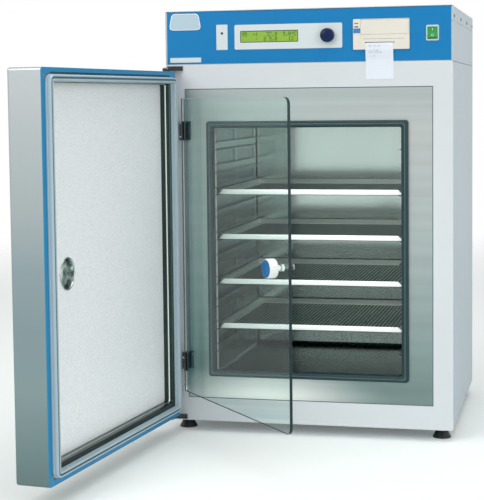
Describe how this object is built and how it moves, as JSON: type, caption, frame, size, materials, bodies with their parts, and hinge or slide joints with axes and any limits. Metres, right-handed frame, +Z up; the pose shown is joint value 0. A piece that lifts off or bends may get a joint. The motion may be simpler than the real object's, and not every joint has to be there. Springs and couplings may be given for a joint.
{
  "type": "carbon dioxide incubator",
  "caption": "Bench-top CO2 incubator with a solid outer door over a latched glass inner door, a stainless chamber with mesh shelves, and a control panel with printer above.",
  "frame": {"origin": "centre of the cabinet's footprint, on the bench under the levelling feet", "axes": "+Z up, +X to the user's right along the front, +Y from the front into the cabinet"},
  "size_m": [0.7056, 1.1619, 0.89],
  "materials": {
    "painted_steel": "powder coated, satin",
    "side_steel": "powder coated, satin",
    "blue_paint": "powder coated, satin",
    "stainless": "brushed",
    "stainless_polished": "polished",
    "panel_enamel": "hammered enamel",
    "seal_dark": "moulded silicone",
    "seal_grey": "moulded magnetic seal",
    "foam": "mineral wool and foam",
    "glass_clear": "toughened",
    "black_plastic": "moulded",
    "white_plastic": "moulded",
    "blue_plastic": "moulded",
    "navy_plastic": "moulded",
    "beige_plastic": "moulded",
    "pale_plate": "satin film",
    "screen": "liquid crystal display",
    "lamp": "clear lens",
    "green_plastic": "translucent rocker",
    "grey_plastic": "moulded",
    "paper": "thermal paper",
    "circuit": "circuit board",
    "zinc": "zinc plated",
    "steel": "turned",
    "brass": "turned",
    "aluminium": "die cast",
    "foot_rubber": "moulded"
  },
  "bodies": {
    "cabinet": {"cabinet_shell": "side_steel", "front_frame": "painted_steel", "face_insert": "stainless", "chamber_liner": "stainless_polished", "chamber_seal": "seal_dark", "insulation_jacket": "foam", "rear_cover": "side_steel", "control_chassis": "side_steel", "top_lid": "side_steel", "fascia": "blue_paint", "control_plates": "pale_plate", "screen_module": "screen", "status_lamp": "lamp", "printer_housing": "beige_plastic", "printer_paper": "paper", "switch_bezel": "grey_plastic", "encoder_body": "zinc", "controller_board": "circuit", "power_supply": "aluminium", "left_rack": "stainless_polished", "right_rack": "stainless_polished", "duct_cover": "stainless_polished", "air_heater": "steel", "fan_motor": "aluminium", "chamber_sensors": "steel", "gas_inlet": "brass", "mains_inlet": "black_plastic", "hinge_brackets": "steel", "hinge_pins": "steel", "glass_hinge_plates": "stainless", "frame_bumper": "white_plastic", "casing_screws": "zinc"},
    "outer_door": {"door_shell": "stainless", "door_rim": "blue_paint", "door_seal": "seal_grey", "door_liner": "stainless_polished", "door_panel": "panel_enamel", "knob_cup": "stainless_polished", "door_insulation": "foam", "door_grip": "black_plastic", "door_bushes": "black_plastic"},
    "glass_door": {"glass_pane": "glass_clear", "glass_clamps": "black_plastic", "latch_bush": "zinc"},
    "latch": {"latch_knob": "white_plastic", "latch_cap": "blue_plastic", "latch_spindle": "steel"},
    "encoder": {"encoder_knob": "navy_plastic"},
    "switch_rocker": {"power_rocker": "green_plastic"},
    "printer_lid": {"printer_cover": "beige_plastic"},
    "feed_key": {"feed_button": "blue_plastic"},
    "fan": {"fan_impeller": "aluminium"},
    "shelf_1_tray": {"shelf_1": "stainless_polished"},
    "shelf_2_tray": {"shelf_2": "stainless_polished"},
    "shelf_3_tray": {"shelf_3": "stainless_polished"},
    "shelf_4_tray": {"shelf_4": "stainless_polished"},
    "foot_front_left_screw": {"foot_front_left": "foot_rubber"},
    "foot_front_right_screw": {"foot_front_right": "foot_rubber"},
    "foot_rear_left_screw": {"foot_rear_left": "foot_rubber"},
    "foot_rear_right_screw": {"foot_rear_right": "foot_rubber"}
  },
  "joints": [
    {"name": "outer_door_hinge", "type": "hinge", "parent": "cabinet", "child": "outer_door", "pos_m": [-0.2915, -0.2905, 0.401], "axis": [0, 0, -1], "range_deg": [-96.1, 24]},
    {"name": "glass_door_hinge", "type": "hinge", "parent": "cabinet", "child": "glass_door", "pos_m": [-0.261, -0.27, 0.4], "axis": [0, 0, -1], "range_deg": [-49.9, 12.5]},
    {"name": "latch_turn", "type": "hinge", "parent": "glass_door", "child": "latch", "pos_m": [0.02113, -0.60504, 0.396], "axis": [-0.7649, -0.6441, 0], "range_deg": [0, 180]},
    {"name": "encoder_turn", "type": "hinge", "parent": "cabinet", "child": "encoder", "pos_m": [0.0454, -0.2705, 0.8338], "axis": [0, -1, 0], "continuous": true},
    {"name": "power_switch_tilt", "type": "hinge", "parent": "cabinet", "child": "switch_rocker", "pos_m": [0.259, -0.2585, 0.83455], "axis": [1, 0, 0], "range_deg": [0, 16]},
    {"name": "printer_cover_hinge", "type": "hinge", "parent": "cabinet", "child": "printer_lid", "pos_m": [0.162, -0.265, 0.86225], "axis": [-1, 0, 0], "range_deg": [0, 80]},
    {"name": "feed_button_press", "type": "slide", "parent": "cabinet", "child": "feed_key", "axis": [0, 1, 0], "range_m": [0, 0.0012], "stiffness_N_per_m": 300},
    {"name": "fan_spin", "type": "hinge", "parent": "cabinet", "child": "fan", "pos_m": [0, 0.1855, 0.575], "axis": [0, -1, 0], "continuous": true},
    {"name": "shelf_1_slide", "type": "slide", "parent": "cabinet", "child": "shelf_1_tray", "axis": [0, -1, 0], "range_m": [0, 0.12]},
    {"name": "shelf_2_slide", "type": "slide", "parent": "cabinet", "child": "shelf_2_tray", "axis": [0, -1, 0], "range_m": [0, 0.12]},
    {"name": "shelf_3_slide", "type": "slide", "parent": "cabinet", "child": "shelf_3_tray", "axis": [0, -1, 0], "range_m": [0, 0.12]},
    {"name": "shelf_4_slide", "type": "slide", "parent": "cabinet", "child": "shelf_4_tray", "axis": [0, -1, 0], "range_m": [0, 0.12]},
    {"name": "foot_front_left_turn", "type": "hinge", "parent": "cabinet", "child": "foot_front_left_screw", "pos_m": [-0.273, -0.2175, 0.012], "axis": [0, 0, 1], "continuous": true},
    {"name": "foot_front_right_turn", "type": "hinge", "parent": "cabinet", "child": "foot_front_right_screw", "pos_m": [0.273, -0.2175, 0.012], "axis": [0, 0, 1], "continuous": true},
    {"name": "foot_rear_left_turn", "type": "hinge", "parent": "cabinet", "child": "foot_rear_left_screw", "pos_m": [-0.273, 0.2025, 0.012], "axis": [0, 0, 1], "continuous": true},
    {"name": "foot_rear_right_turn", "type": "hinge", "parent": "cabinet", "child": "foot_rear_right_screw", "pos_m": [0.273, 0.2025, 0.012], "axis": [0, 0, 1], "continuous": true}
  ],
  "couplings": [
    {"joint": "glass_door_hinge", "follows": "outer_door_hinge", "ratio": 0.5192}
  ]
}
